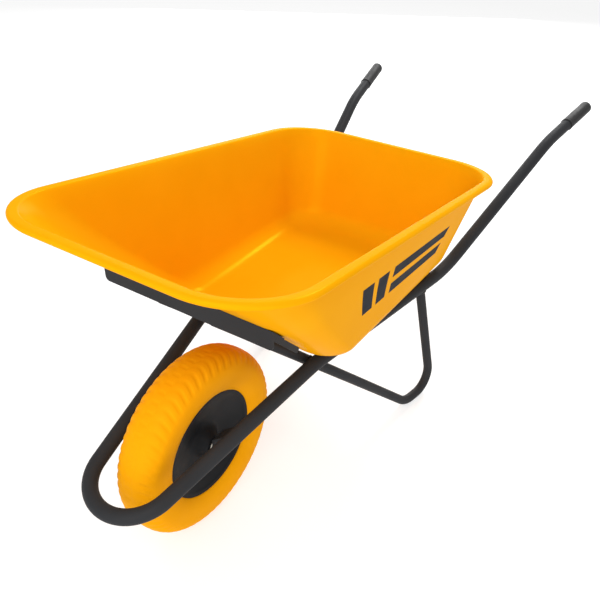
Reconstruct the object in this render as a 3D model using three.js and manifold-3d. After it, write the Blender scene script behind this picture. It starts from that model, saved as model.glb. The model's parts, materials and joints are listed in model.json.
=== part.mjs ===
// A single-wheel builder's wheelbarrow: a pressed steel tray on a frame bent from one tube, with two
// bent tube legs and a foam-filled wheel. Millimetres, +Z up, +X towards the handles, and the left
// side of the person who pushes it at -Y. The barrow stands on z = 0, centred on the origin.
// Places below are counted from the point on the ground straight under the axle.
import * as THREE from "three";
import { ParametricGeometry } from "three/addons/geometries/ParametricGeometry.js";
import { mergeVertices } from "three/addons/utils/BufferGeometryUtils.js";
import Module from "manifold-3d";

const wasm = await Module();
wasm.setup();

// ---- Driving dimensions ----

const GAP = 0.3; // between pieces that touch

// Wheel
const WHEEL_R = 177.5;
const TYRE_HALF_WIDTH = 43;
const TYRE_DEPTH = 76;
const TYRE_FULLNESS = 0.84; // of its shoulders: 1 is an ellipse, less is squarer
const RIM_R = 104.6;
const RIM_HALF_WIDTH = 31.6;
const RIM_SHEET = 2;
const SEAT_R = 100;
const HUB_R = 14;
const HUB_HALF_LENGTH = 38;
const BUSH_R = 9;
const BUSH_FLANGE = 2.5; // its thickness
const BUSH_FLANGE_REACH = 4; // how far it stands out
const BUSH_DEPTH = 20;
const BAND_HALF_WIDTH = 25;
const BAND_SHEET = 3;
const SPACER_R = 10;
const AXLE_R = 6;
const AXLE_FLATS = 19;
const AXLE_HEAD_HEIGHT = 7.5;
const AXLE_NUT_HEIGHT = 10;
const AXLE_WASHER_R = 12;
const AXLE_WASHER_SHEET = 2.5;
const THREAD_PROUD = 3; // how far the bolt's thread stands out of its nut
const WHEEL_SIDES = 48;

// The middle of a rim side's sheet as (radius, distance from the wheel's middle): a flat edge against
// the tyre, a shallow dish, and a raised collar on the hub
const RIM_EDGE = [104.3, 30.6];
const RIM_BEAD = [98, 30.2];
const RIM_SHOULDER = [91.5, 27.3];
const RIM_DISH = [46, 14];
const RIM_COLLAR_FOOT = [32, 14.5];
const RIM_COLLAR_WAIST = [23, 24.5];
const RIM_COLLAR_TOP = [18, 33];
const RIM_COLLAR_EDGE = [15.8, 35.2];

// Frame tube, given by its corner points on the +Y side, before they are rounded
const TUBE_R = 13.45;
const TUBE_WALL = 1.8;
const HANDLE_END = new THREE.Vector3(1189, 299.8, 529.5);
const HANDLE_BEND = new THREE.Vector3(1002.5, 268.9, 489);
const TRAY_REAR_BEND = new THREE.Vector3(612.4, 196.8, 297);
const TRAY_FRONT_BEND = new THREE.Vector3(178.8, 134, 292.2);
const NOSE_APEX = new THREE.Vector3(-601.5, 0, 117); // where the two front tubes would meet
const NOSE_BEND_R = 76.2;
const TRAY_FRONT_BEND_R = 200;
const TRAY_REAR_BEND_R = 220;
const HANDLE_BEND_R = 260;

// Legs, given the same way
const LEG_R = 10;
const LEG_WALL = 1.6;
const LEG_TOP_X = 518; // where a leg meets the frame tube
const FOOT_FRONT = new THREE.Vector3(476, 200, LEG_R);
const FOOT_REAR = new THREE.Vector3(575, 217, LEG_R);
const BRACE_CROSSING = new THREE.Vector3(183, 110.5, 288); // beside the frame tube, on its inner side
const FOOT_FRONT_BEND_R = 60;
const FOOT_REAR_BEND_R = 46;

// Tray: the inside corners of its floor and of its mouth
const SHEET = 1.2;
const FLOOR = {
  front: 176,
  rear: 634,
  frontHalf: 192,
  rearHalf: 192.5,
  frontRadius: 60,
  rearRadius: 66,
  frontZ: 309.6,
  rearZ: 313,
};
const MOUTH = {
  front: -142,
  rear: 707,
  frontHalf: 251,
  rearHalf: 246,
  frontRadius: 115,
  rearRadius: 103,
  frontZ: 629.5,
  rearZ: 508.5,
};
const RIM_REACH = 20; // from the mouth to the outside of the rolled edge
const ROLL_R = 6;
const FLOOR_FILLET = 45; // width of the curve between floor and walls, measured on the floor
const FLOOR_FILLET_RISE = 0.15; // its height, as a share of the wall
const WALL_SHARES = [0.35, 0.55, 0.72, 0.86, 0.98]; // shares of the wall's height
const FRONT_CORNER_FLARE = 2.7; // the front corners stay tight low down and open out towards the mouth
const MOUTH_CURVE_START = 1.5; // the curve from the wall out onto the rolled edge
const MOUTH_CURVE_END = 5;

// Front support bar
const SUPPORT_X = -7;
const SUPPORT_BOTTOM = 457;
const SUPPORT_HALF_LENGTH = 174;
const SUPPORT_SHEET = 3;
const SUPPORT_FLANGE = 100; // width of its sloping leg
const SUPPORT_LIP = 10; // depth of the lips at the ends of the sloping leg
const SUPPORT_CORNER_R = 8;

// Axle brackets
const BRACKET_Y = 46.6; // inner face
const BRACKET_SHEET = 5;
const BRACKET_WIDTH = 32;
const BRACKET_BEND_Z = 207;

// Tray fixings: studs under the sheet, each through a plate and held by a washer and a nut
const STUD_R = 4;
const STUD_LENGTH = 17;
const STUD_FLANGE_R = 7;
const STUD_FLANGE = 1.2;
const TAB_SHEET = 3;
const TAB_LENGTH = 36;
const TAB_REACH = 40;
const TAB_STUD_INSET = 27;
const TAB_PLACES = { front: 262, rear: 545 };
const TAB_EDGE = 12; // from the stud to the inner edge of its tab
const TAB_HOLE_R = 4.5;
const STUD_NUT_FLATS = 13;
const STUD_NUT_HEIGHT = 6.5;
const WASHER_R = 8;
const WASHER_SHEET = 1.6;

// Grips
const GRIP_LENGTH = 101;
const GRIP_WALL = 1.1;
const GRIP_LIP = 0.6; // how far the bead at the open end stands out
const GRIP_LIP_LENGTH = 4;
const GRIP_CAP = 5;
const GRIP_END_ROUND = 5;

const SIDES = { left: -1, right: 1 };

// ---- Materials ----

function finish(color, roughness, metalness) {
  return new THREE.MeshStandardMaterial({ color, roughness, metalness });
}
const MATERIALS = {
  tray: finish(0xf79a00, 0.35, 0),
  frame: finish(0x37373a, 0.5, 0.1),
  tyre: finish(0xf59b05, 0.75, 0),
  rim: finish(0x202225, 0.45, 0.1),
  grip: finish(0x2a2a2c, 0.7, 0),
  zinc: finish(0xb9bcc0, 0.35, 0.9),
  nylon: finish(0xe6e3da, 0.6, 0),
};

// ---- Solids ----

// A manifold-3d solid of a closed geometry.
function solidOf(geometry) {
  const bare = geometry.index ? geometry.toNonIndexed() : geometry.clone();
  bare.deleteAttribute("normal");
  bare.deleteAttribute("uv");
  const merged = mergeVertices(bare, 1e-3);
  return new wasm.Manifold(
    new wasm.Mesh({
      numProp: 3,
      vertProperties: merged.attributes.position.array,
      triVerts: new Uint32Array(merged.index.array),
    }),
  );
}

function geometryOf(solid) {
  const mesh = solid.getMesh();
  const geometry = new THREE.BufferGeometry();
  geometry.setAttribute("position", new THREE.BufferAttribute(mesh.vertProperties, mesh.numProp));
  geometry.setIndex(new THREE.BufferAttribute(mesh.triVerts, 1));
  return geometry;
}

function cut(geometry, ...cutters) {
  let solid = solidOf(geometry);
  for (const cutter of cutters) {
    solid = solid.subtract(solidOf(cutter));
  }
  return geometryOf(solid);
}

function trim(geometry, keeper) {
  return geometryOf(solidOf(geometry).intersect(solidOf(keeper)));
}

function join(first, ...others) {
  let solid = solidOf(first);
  for (const other of others) {
    solid = solid.add(solidOf(other));
  }
  return geometryOf(solid);
}

// A curve that steps through given stations only, so that a straight run is one step long.
class StationCurve extends THREE.Curve {
  constructor(stations) {
    super();
    this.stations = stations;
  }
  stationAt(u) {
    return this.stations[Math.round(u * (this.stations.length - 1))];
  }
  getPointAt(u) {
    return this.stationAt(u).point.clone();
  }
  getTangentAt(u) {
    return this.stationAt(u).tangent.clone();
  }
}

// The centre line of a bent tube: straight runs between the corners, each inner corner an arc.
function bentRoute(corners, radii, mostTurn = Math.PI / 12) {
  const stations = [];
  const along = (i) => corners[i + 1].clone().sub(corners[i]).normalize();
  stations.push({ point: corners[0].clone(), tangent: along(0) });
  for (let i = 1; i < corners.length - 1; i++) {
    const into = along(i - 1);
    const out = along(i);
    const turn = into.angleTo(out);
    const axis = into.clone().cross(out).normalize();
    const start = corners[i].clone().addScaledVector(into, -radii[i - 1] * Math.tan(turn / 2));
    const inward = axis.clone().cross(into);
    const centre = start.clone().addScaledVector(inward, radii[i - 1]);
    const steps = Math.max(2, Math.ceil(turn / mostTurn));
    for (let k = 0; k <= steps; k++) {
      const angle = (turn * k) / steps;
      const spoke = start.clone().sub(centre).applyAxisAngle(axis, angle);
      const tangent = into.clone().applyAxisAngle(axis, angle);
      stations.push({ point: spoke.add(centre), tangent });
    }
  }
  const last = corners.length - 1;
  stations.push({ point: corners[last].clone(), tangent: along(last - 1) });
  return new StationCurve(stations);
}

function circle(radius, sides) {
  const points = [];
  for (let k = 0; k < sides; k++) {
    const angle = (2 * Math.PI * k) / sides;
    points.push(new THREE.Vector2(radius * Math.cos(angle), radius * Math.sin(angle)));
  }
  return points;
}

// A tube along a route, or a round bar where no wall is given.
function tube(route, radius, wall = 0, sides = 14) {
  const section = new THREE.Shape(circle(radius, sides));
  if (wall) {
    section.holes.push(new THREE.Path(circle(radius - wall, 8)));
  }
  return new THREE.ExtrudeGeometry(section, { steps: route.stations.length - 1, extrudePath: route });
}

// The outline of a bent strip of sheet: a polyline given some thickness, its corners mitred.
function strip(points, thickness) {
  const sides = [[], []];
  points.forEach((point, i) => {
    const before = points[Math.max(i - 1, 0)];
    const after = points[Math.min(i + 1, points.length - 1)];
    const into = point.clone().sub(i ? before : point.clone().multiplyScalar(2).sub(after)).normalize();
    const out = (i < points.length - 1 ? after.clone().sub(point) : point.clone().sub(before)).normalize();
    const normal = new THREE.Vector2(-into.y - out.y, into.x + out.x).normalize();
    const reach = thickness / 2 / normal.dot(new THREE.Vector2(-out.y, out.x));
    sides[0].push(point.clone().addScaledVector(normal, -reach));
    sides[1].push(point.clone().addScaledVector(normal, reach));
  });
  return [...sides[0], ...sides[1].reverse()];
}

// A solid of revolution about Y from a closed outline of (radius, y) points, anticlockwise.
function turned(outline, sides = 24) {
  return new THREE.LatheGeometry([...outline, outline[0]], sides);
}

const flat = (pairs) => pairs.map(([x, y]) => new THREE.Vector2(x, y));

function ring(inner, outer, low, high, sides = 24) {
  const outline = flat([
    [inner, low],
    [outer, low],
    [outer, high],
    [inner, high],
  ]);
  return turned(outline, sides);
}

// A turned outline on the side of the barrow asked for, in an order that keeps it anticlockwise.
function sided(outline, side) {
  const copy = outline.map((p) => new THREE.Vector2(p.x, p.y * side));
  return side < 0 ? copy.reverse() : copy;
}

// The span from low to high away from the middle, on the side asked for.
const span = (side, low, high) => (side < 0 ? [-high, -low] : [low, high]);

// A round or six-sided bar along Y.
function bar(radius, low, high, sides = 16) {
  return new THREE.CylinderGeometry(radius, radius, high - low, sides).translate(0, (low + high) / 2, 0);
}

function hexNut(acrossFlats, bore, low, high) {
  return cut(bar(acrossFlats / Math.sqrt(3), low, high, 6), bar(bore, low - 1, high + 1));
}

// A plate of an outline of (y, z) points, its width centred on x.
function plateAcross(outline, x, width) {
  const basis = new THREE.Matrix4().makeBasis(
    new THREE.Vector3(0, 1, 0),
    new THREE.Vector3(0, 0, 1),
    new THREE.Vector3(1, 0, 0),
  );
  const plate = new THREE.ExtrudeGeometry(new THREE.Shape(outline), { depth: width, bevelEnabled: false });
  return plate.applyMatrix4(basis).translate(x - width / 2, 0, 0);
}

// A plate of an outline of (x, z) points, its width centred on y.
function plateAlong(outline, y, width) {
  const plate = new THREE.ExtrudeGeometry(new THREE.Shape(outline), { depth: width, bevelEnabled: false });
  return plate.rotateX(Math.PI / 2).translate(0, y + width / 2, 0);
}

const mirrored = (point, side) => new THREE.Vector3(point.x, point.y * side, point.z);
const mirroredOutline = (outline, side) => outline.map((p) => new THREE.Vector2(p.x * side, p.y));

// ---- The barrow ----

const barrow = new THREE.Group();

function piece(name, geometry, material, parent = barrow) {
  const mesh = new THREE.Mesh(geometry, MATERIALS[material]);
  mesh.name = name;
  parent.add(mesh);
  return mesh;
}

// ---- Frame tube ----

const handleToNose = [HANDLE_END, HANDLE_BEND, TRAY_REAR_BEND, TRAY_FRONT_BEND];
const handleToNoseRadii = [HANDLE_BEND_R, TRAY_REAR_BEND_R, TRAY_FRONT_BEND_R];
const frameRoute = bentRoute(
  [...handleToNose.map((p) => mirrored(p, -1)), NOSE_APEX, ...handleToNose.toReversed()],
  [...handleToNoseRadii, NOSE_BEND_R, ...handleToNoseRadii.toReversed()],
);
piece("main_frame", tube(frameRoute, TUBE_R, TUBE_WALL), "frame");

// What is cut out of a piece so that it butts against the frame tube.
const frameSeat = tube(frameRoute, TUBE_R + GAP);

// The point at x of the straight run between two corners.
function onRun(from, to, x) {
  return from.clone().lerp(to, (x - from.x) / (to.x - from.x));
}
const underTray = (x, side) => mirrored(onRun(TRAY_FRONT_BEND, TRAY_REAR_BEND, x), side);
const frameAtAxle = onRun(NOSE_APEX, TRAY_FRONT_BEND, 0);

// ---- Grips ----

function grip(name, side) {
  const bore = TUBE_R + GAP;
  const outer = bore + GRIP_WALL;
  const lip = outer + GRIP_LIP;
  const end = GRIP_CAP + GAP;
  const outline = flat([
    [bore, -GRIP_LENGTH],
    [lip, -GRIP_LENGTH],
    [lip, -GRIP_LENGTH + GRIP_LIP_LENGTH],
    [outer, -GRIP_LENGTH + GRIP_LIP_LENGTH + 2 * GRIP_LIP],
    [outer, end - GRIP_END_ROUND],
    [outer - 0.3 * GRIP_END_ROUND, end - 0.3 * GRIP_END_ROUND],
    [outer - GRIP_END_ROUND, end],
    [0, end],
    [0, GAP],
    [bore, GAP],
    [bore, -GRIP_LENGTH],
  ]);
  const mesh = piece(name + "_grip", new THREE.LatheGeometry(outline, 20), "grip");
  const direction = mirrored(HANDLE_END.clone().sub(HANDLE_BEND), side).normalize();
  mesh.quaternion.setFromUnitVectors(new THREE.Vector3(0, 1, 0), direction);
  mesh.position.copy(mirrored(HANDLE_END, side));
}

// ---- Tray ----

// One ring round the tray: a rounded four-sided outline that lies in a plane tilted along X. share runs
// from 0 on the floor to 1 at the mouth, grow pushes the outline out, and lift raises it.
const CORNER_STEPS = 8;
const SIDE_STEPS = 3;
function trayRing(share, grow, lift) {
  const value = (key) => THREE.MathUtils.lerp(FLOOR[key], MOUTH[key], share);
  const flare = share ** FRONT_CORNER_FLARE;
  const frontRadius = THREE.MathUtils.lerp(FLOOR.frontRadius, MOUTH.frontRadius, flare);
  const front = value("front");
  const rear = value("rear");
  const between = (x, a, b) => THREE.MathUtils.mapLinear(x, front, rear, value(a), value(b));
  const half = (x) => between(x, "frontHalf", "rearHalf") + grow;
  const height = (x) => between(x, "frontZ", "rearZ") + lift;
  const corners = [
    { end: front - grow, inward: 1, side: -1, radius: frontRadius + grow, from: Math.PI },
    { end: rear + grow, inward: -1, side: -1, radius: value("rearRadius") + grow, from: 1.5 * Math.PI },
    { end: rear + grow, inward: -1, side: 1, radius: value("rearRadius") + grow, from: 0 },
    { end: front - grow, inward: 1, side: 1, radius: frontRadius + grow, from: 0.5 * Math.PI },
  ];
  const arcs = corners.map(({ end, inward, side, radius, from }) => {
    const x = end + inward * radius;
    const y = side * (half(x) - radius);
    const arc = [];
    for (let k = 0; k <= CORNER_STEPS; k++) {
      const angle = from + (k / CORNER_STEPS) * (Math.PI / 2);
      arc.push(new THREE.Vector2(x + radius * Math.cos(angle), y + radius * Math.sin(angle)));
    }
    return arc;
  });
  const outline = [];
  arcs.forEach((arc, i) => {
    outline.push(...arc);
    const next = arcs[(i + 1) % arcs.length][0];
    for (let k = 1; k < SIDE_STEPS; k++) {
      outline.push(arc[CORNER_STEPS].clone().lerp(next, k / SIDE_STEPS));
    }
  });
  return outline.map((p) => new THREE.Vector3(p.x, p.y, height(p.x)));
}

// The sheet's section, from the middle of the floor inside, over the rolled edge, to the middle below.
function traySection() {
  const stations = [];
  const filletSteps = 4;
  const wallFrom = FLOOR_FILLET_RISE;
  const fillet = (k, grow, lift) => {
    const s = k / filletSteps;
    stations.push([wallFrom * s * s, -FLOOR_FILLET * (1 - s) * (1 - s) + grow * s, lift * (1 - s)]);
  };
  for (let k = 0; k <= filletSteps; k++) {
    fillet(k, 0, 0);
  }
  const mouth = (grow, lift) => stations.push([1, grow, lift]);
  WALL_SHARES.forEach((share) => stations.push([share, 0, 0]));
  mouth(MOUTH_CURVE_START, -MOUTH_CURVE_START);
  mouth(MOUTH_CURVE_END, 0);
  const rollCentre = RIM_REACH - ROLL_R;
  const roll = (radius, degrees) => {
    const angle = THREE.MathUtils.degToRad(degrees);
    mouth(rollCentre + radius * Math.cos(angle), -ROLL_R + radius * Math.sin(angle));
  };
  const rollAngles = [90, 45, 0, -45, -90, -135];
  rollAngles.forEach((degrees) => roll(ROLL_R, degrees));
  rollAngles.reverse().forEach((degrees) => roll(ROLL_R - SHEET, degrees));
  mouth(MOUTH_CURVE_END + 0.4 * SHEET, -SHEET);
  mouth(MOUTH_CURVE_START + 0.8 * SHEET, -MOUTH_CURVE_START - 0.8 * SHEET);
  WALL_SHARES.toReversed().forEach((share) => stations.push([share, SHEET, 0]));
  for (let k = filletSteps; k >= 0; k--) {
    fillet(k, SHEET, -SHEET);
  }
  return stations;
}

const rings = traySection().map(([share, grow, lift]) => trayRing(share, grow, lift));
const middle = (outline) => {
  const centre = outline.reduce((sum, p) => sum.add(p), new THREE.Vector3()).divideScalar(outline.length);
  return outline.map(() => centre);
};
const trayRings = [middle(rings[0]), ...rings, middle(rings[rings.length - 1])];
function trayPoint(u, v, target) {
  const outline = trayRings[Math.round(v * (trayRings.length - 1))];
  target.copy(outline[Math.round((1 - u) * outline.length) % outline.length]);
}
const trayGeometry = new ParametricGeometry(trayPoint, rings[0].length, trayRings.length - 1);
trayGeometry.computeVertexNormals();
piece("tray", trayGeometry, "tray");

// The underside of the tray as planes: the floor, and the front wall that slopes up over the wheel.
const floorSlope = Math.atan((FLOOR.rearZ - FLOOR.frontZ) / (FLOOR.rear - FLOOR.front));
const rampSlope = Math.atan((MOUTH.frontZ - FLOOR.frontZ) / (MOUTH.front - FLOOR.front));
const floorUnderside = (x) => FLOOR.frontZ - SHEET + (x - FLOOR.front) * Math.tan(floorSlope);
const rampUnderside = (x) => FLOOR.frontZ + (x - FLOOR.front + SHEET) * Math.tan(rampSlope);

// ---- Tray fixings ----

const PLATE_TOP = -(2 * GAP + STUD_FLANGE); // of the plate that a stud goes through, under the sheet
const uprightBar = (radius, low, high, sides) => bar(radius, low, high, sides).rotateX(Math.PI / 2);

// A tab on the inner side of the frame tube, with the stud, washer and nut that hold the tray to it.
function trayFixing(name, x, side) {
  const place = new THREE.Group();
  place.position.set(x, underTray(x, side).y - side * TAB_STUD_INSET, floorUnderside(x));
  place.rotation.y = -floorSlope;
  place.updateMatrix();
  barrow.add(place);

  const plate = new THREE.BoxGeometry(TAB_LENGTH, TAB_REACH, TAB_SHEET);
  plate.translate(0, side * (TAB_REACH / 2 - TAB_EDGE), PLATE_TOP - TAB_SHEET / 2);
  const hole = uprightBar(TAB_HOLE_R, PLATE_TOP - 2 * TAB_SHEET, PLATE_TOP + TAB_SHEET);
  const drilled = cut(plate, hole).applyMatrix4(place.matrix);
  piece(name + "_tray_tab", cut(drilled, frameSeat), "frame");

  const flange = uprightBar(STUD_FLANGE_R, -GAP - STUD_FLANGE, -GAP);
  const shank = uprightBar(STUD_R, -GAP - STUD_LENGTH, -GAP - STUD_FLANGE / 2);
  piece(name + "_tray_stud", join(flange, shank), "tray", place);
  const washerTop = PLATE_TOP - TAB_SHEET - GAP;
  const washer = ring(STUD_R + GAP, WASHER_R, washerTop - WASHER_SHEET, washerTop, 16);
  piece(name + "_tray_washer", washer.rotateX(Math.PI / 2), "zinc", place);
  const nutTop = washerTop - WASHER_SHEET - GAP;
  const nut = hexNut(STUD_NUT_FLATS, STUD_R + GAP, nutTop - STUD_NUT_HEIGHT, nutTop);
  piece(name + "_tray_nut", nut.rotateX(Math.PI / 2), "zinc", place);
}

// ---- Front support ----

// A bent plate across the barrow: its upright leg faces forwards, its other leg lies under the front wall
// and has a lip turned down at either end.
function frontSupport() {
  const depth = (GAP + SUPPORT_SHEET / 2) / Math.cos(rampSlope);
  const corner = new THREE.Vector2(SUPPORT_X, rampUnderside(SUPPORT_X) - depth);
  const foot = new THREE.Vector2(SUPPORT_X, SUPPORT_BOTTOM);
  const downRamp = new THREE.Vector2(Math.cos(rampSlope), Math.sin(rampSlope));
  const edge = corner.clone().addScaledVector(downRamp, SUPPORT_FLANGE);
  const angleBar = plateAlong(strip([foot, corner, edge], SUPPORT_SHEET), 0, 2 * SUPPORT_HALF_LENGTH);
  const face = new THREE.Shape();
  const low = SUPPORT_BOTTOM;
  const r = SUPPORT_CORNER_R;
  face.moveTo(SUPPORT_HALF_LENGTH, corner.y + r);
  face.lineTo(-SUPPORT_HALF_LENGTH, corner.y + r);
  face.absarc(-SUPPORT_HALF_LENGTH + r, low + r, r, Math.PI, 1.5 * Math.PI);
  face.absarc(SUPPORT_HALF_LENGTH - r, low + r, r, 1.5 * Math.PI, 2 * Math.PI);
  const outline = face.extractPoints(3).shape;
  const bent = trim(angleBar, plateAcross(outline, SUPPORT_X, 4 * SUPPORT_FLANGE));
  const belowEdge = edge.clone().add(new THREE.Vector2(downRamp.y, -downRamp.x).multiplyScalar(SUPPORT_LIP));
  const belowCorner = new THREE.Vector2(SUPPORT_X, corner.y - SUPPORT_LIP / downRamp.x);
  const lipMiddle = SUPPORT_HALF_LENGTH - SUPPORT_SHEET / 2;
  const lips = [-1, 1].map((side) =>
    plateAlong([belowCorner, belowEdge, edge, corner], side * lipMiddle, SUPPORT_SHEET),
  );
  piece("front_support", join(bent, ...lips), "frame");
}
frontSupport();

// ---- Legs ----

// One bent tube from under the frame tube down to the foot, along the ground, and up past the frame
// tube's inner side to the front support.
function leg(name, side) {
  const top = underTray(LEG_TOP_X, 1);
  const brace = BRACE_CROSSING.clone().sub(FOOT_FRONT);
  const past = SUPPORT_X - 1.5 * LEG_R; // through the bar, before the tube is cut off behind it
  const end = FOOT_FRONT.clone().addScaledVector(brace, (past - FOOT_FRONT.x) / brace.x);
  const corners = [top, FOOT_REAR, FOOT_FRONT, end].map((p) => mirrored(p, side));
  const route = bentRoute(corners, [FOOT_REAR_BEND_R, FOOT_FRONT_BEND_R], Math.PI / 9);
  const ahead = new THREE.BoxGeometry(10 * LEG_R, 4 * SUPPORT_HALF_LENGTH, 20 * LEG_R);
  ahead.translate(SUPPORT_X + SUPPORT_SHEET / 2 + GAP - 5 * LEG_R, 0, end.z);
  piece(name + "_leg", cut(tube(route, LEG_R, LEG_WALL, 12), frameSeat, ahead), "frame");
}

// ---- Axle ----

// A flat bar welded under the frame tube, bent in and down to the axle.
function axleBracket(name, side) {
  const middleY = BRACKET_Y + BRACKET_SHEET / 2;
  const route = flat([
    [middleY, WHEEL_R - BRACKET_WIDTH / 2],
    [middleY, BRACKET_BEND_Z],
    [frameAtAxle.y, frameAtAxle.z],
  ]);
  const bent = plateAcross(mirroredOutline(strip(route, BRACKET_SHEET), side), 0, BRACKET_WIDTH);
  const end = new THREE.Shape();
  const above = frameAtAxle.z + TUBE_R;
  end.moveTo(BRACKET_WIDTH / 2 + 1, above);
  end.lineTo(-BRACKET_WIDTH / 2 - 1, above);
  end.absarc(0, WHEEL_R, BRACKET_WIDTH / 2, Math.PI, 2 * Math.PI);
  const rounded = trim(bent, plateAlong(end.extractPoints(8).shape, 0, 4 * frameAtAxle.y));
  const hole = bar(AXLE_R + GAP, -2 * BRACKET_Y, 2 * BRACKET_Y).translate(0, 0, WHEEL_R);
  piece(name + "_axle_bracket", cut(rounded, frameSeat, hole), "frame");
}

// Out from the bush, one after another: the spacer, the bracket, the washer, and the bolt head or nut.
const SPACER = [HUB_HALF_LENGTH + 2 * GAP + BUSH_FLANGE, BRACKET_Y - GAP];
const AXLE_WASHER = [BRACKET_Y + BRACKET_SHEET + GAP, BRACKET_Y + BRACKET_SHEET + GAP + AXLE_WASHER_SHEET];
const AXLE_OUTER = AXLE_WASHER[1] + GAP;

const axle = new THREE.Group();
axle.position.z = WHEEL_R;
barrow.add(axle);

const boltHead = bar(AXLE_FLATS / Math.sqrt(3), -AXLE_OUTER - AXLE_HEAD_HEIGHT, -AXLE_OUTER, 6);
const boltShank = bar(AXLE_R, -AXLE_OUTER - 1, AXLE_OUTER + AXLE_NUT_HEIGHT + THREAD_PROUD);
piece("axle_bolt", join(boltHead, boltShank), "zinc", axle);
const axleNut = hexNut(AXLE_FLATS, AXLE_R + GAP, AXLE_OUTER, AXLE_OUTER + AXLE_NUT_HEIGHT);
piece("axle_nut", axleNut, "zinc", axle);

function axleStack(name, side) {
  const spacer = ring(AXLE_R + GAP, SPACER_R, ...span(side, ...SPACER), 20);
  piece(name + "_spacer", spacer, "zinc", axle);
  const washer = ring(AXLE_R + GAP, AXLE_WASHER_R, ...span(side, ...AXLE_WASHER), 20);
  piece(name + "_axle_washer", washer, "zinc", axle);
}

// ---- Wheel ----

// The half section of the tyre: a seat, a bead beside the rim's edge, a full sidewall, a round crown.
function tyreOutline() {
  const middleR = WHEEL_R - TYRE_DEPTH / 2;
  const beadR = RIM_R + GAP;
  const beadHalf = RIM_HALF_WIDTH + GAP;
  const seatHalf = RIM_HALF_WIDTH - RIM_SHEET - 2 * GAP;
  const across = beadHalf / TYRE_HALF_WIDTH;
  const beadAngle = Math.asin(across ** (1 / TYRE_FULLNESS));
  const wallDepth = (middleR - beadR) / Math.cos(beadAngle) ** TYRE_FULLNESS;
  const outline = flat([
    [SEAT_R, seatHalf],
    [beadR, seatHalf],
  ]);
  const square = (value) => Math.sign(value) * Math.abs(value) ** TYRE_FULLNESS;
  const swell = (angle, depth) => {
    const r = middleR - depth * square(Math.cos(angle));
    outline.push(new THREE.Vector2(r, TYRE_HALF_WIDTH * square(Math.sin(angle))));
  };
  const wallSteps = 4;
  for (let k = 0; k < wallSteps; k++) {
    swell(THREE.MathUtils.lerp(beadAngle, Math.PI / 2, k / wallSteps), wallDepth);
  }
  const crownSteps = 7;
  for (let k = 0; k <= crownSteps; k++) {
    swell(((1 + k / crownSteps) * Math.PI) / 2, TYRE_DEPTH / 2);
  }
  const crown = outline.pop();
  const lower = outline.map((p) => new THREE.Vector2(p.x, -p.y));
  return [...lower, crown, ...outline.reverse()];
}
piece("tyre", turned(tyreOutline(), WHEEL_SIDES), "tyre", axle);

const rimProfile = flat([
  RIM_EDGE,
  RIM_BEAD,
  RIM_SHOULDER,
  RIM_DISH,
  RIM_COLLAR_FOOT,
  RIM_COLLAR_WAIST,
  RIM_COLLAR_TOP,
  RIM_COLLAR_EDGE,
]);

// One pressed side of the rim, and the bush in its end of the hub.
function wheelSide(name, side) {
  piece(name + "_rim", turned(sided(strip(rimProfile, RIM_SHEET), side), WHEEL_SIDES), "rim", axle);
  const inner = AXLE_R + GAP;
  const face = HUB_HALF_LENGTH + GAP;
  const bush = flat([
    [inner, face - BUSH_DEPTH],
    [BUSH_R, face - BUSH_DEPTH],
    [BUSH_R, face],
    [BUSH_R + BUSH_FLANGE_REACH, face],
    [BUSH_R + BUSH_FLANGE_REACH, face + BUSH_FLANGE],
    [inner, face + BUSH_FLANGE],
  ]);
  piece(name + "_bush", turned(sided(bush, side), 20), "nylon", axle);
}

const band = ring(SEAT_R - BAND_SHEET, SEAT_R - GAP, -BAND_HALF_WIDTH, BAND_HALF_WIDTH, WHEEL_SIDES);
piece("rim_band", band, "rim", axle);
const hub = ring(BUSH_R + GAP, HUB_R, -HUB_HALF_LENGTH, HUB_HALF_LENGTH, 20);
piece("hub", hub, "rim", axle);

// ---- Both sides ----

for (const [name, side] of Object.entries(SIDES)) {
  grip(name, side);
  leg(name, side);
  axleBracket(name, side);
  axleStack(name, side);
  wheelSide(name, side);
  for (const [end, x] of Object.entries(TAB_PLACES)) {
    trayFixing(name + "_" + end, x, side);
  }
}

// Centred on the origin along X.
const extent = new THREE.Box3().setFromObject(barrow, true);
barrow.position.x = -(extent.min.x + extent.max.x) / 2;

export default barrow;
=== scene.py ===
"""The looks of a builder's wheelbarrow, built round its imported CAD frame.

Shapes are worked out in millimetres from the point on the ground straight under the axle, as in the CAD.
They become metres in the part's own frame when a mesh is made. Left is the -Y side.
"""

import json
import math

import bmesh
import bpy
from mathutils import Matrix, Vector


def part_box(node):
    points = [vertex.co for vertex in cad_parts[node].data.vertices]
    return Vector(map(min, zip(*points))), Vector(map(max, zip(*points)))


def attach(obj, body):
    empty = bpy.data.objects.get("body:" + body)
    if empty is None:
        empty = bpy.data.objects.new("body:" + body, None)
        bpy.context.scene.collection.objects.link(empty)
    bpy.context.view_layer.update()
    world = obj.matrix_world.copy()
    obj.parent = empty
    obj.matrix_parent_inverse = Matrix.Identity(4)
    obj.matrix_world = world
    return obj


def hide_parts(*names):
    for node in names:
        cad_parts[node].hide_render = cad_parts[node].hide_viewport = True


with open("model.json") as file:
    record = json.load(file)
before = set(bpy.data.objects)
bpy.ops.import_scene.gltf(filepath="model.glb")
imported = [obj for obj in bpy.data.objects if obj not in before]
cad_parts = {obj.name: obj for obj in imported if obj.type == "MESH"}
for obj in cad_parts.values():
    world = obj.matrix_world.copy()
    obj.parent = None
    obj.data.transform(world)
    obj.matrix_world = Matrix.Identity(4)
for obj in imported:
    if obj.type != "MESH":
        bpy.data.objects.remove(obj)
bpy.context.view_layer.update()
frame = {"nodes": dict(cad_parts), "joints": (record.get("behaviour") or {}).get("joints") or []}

SPIN = frame["joints"][0]
AXLE_X, _, AXLE_Z = SPIN["pos_m"]
MM = 0.001
SIDES = (("left", -1), ("right", 1))


# ---- Meshes ----


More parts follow.
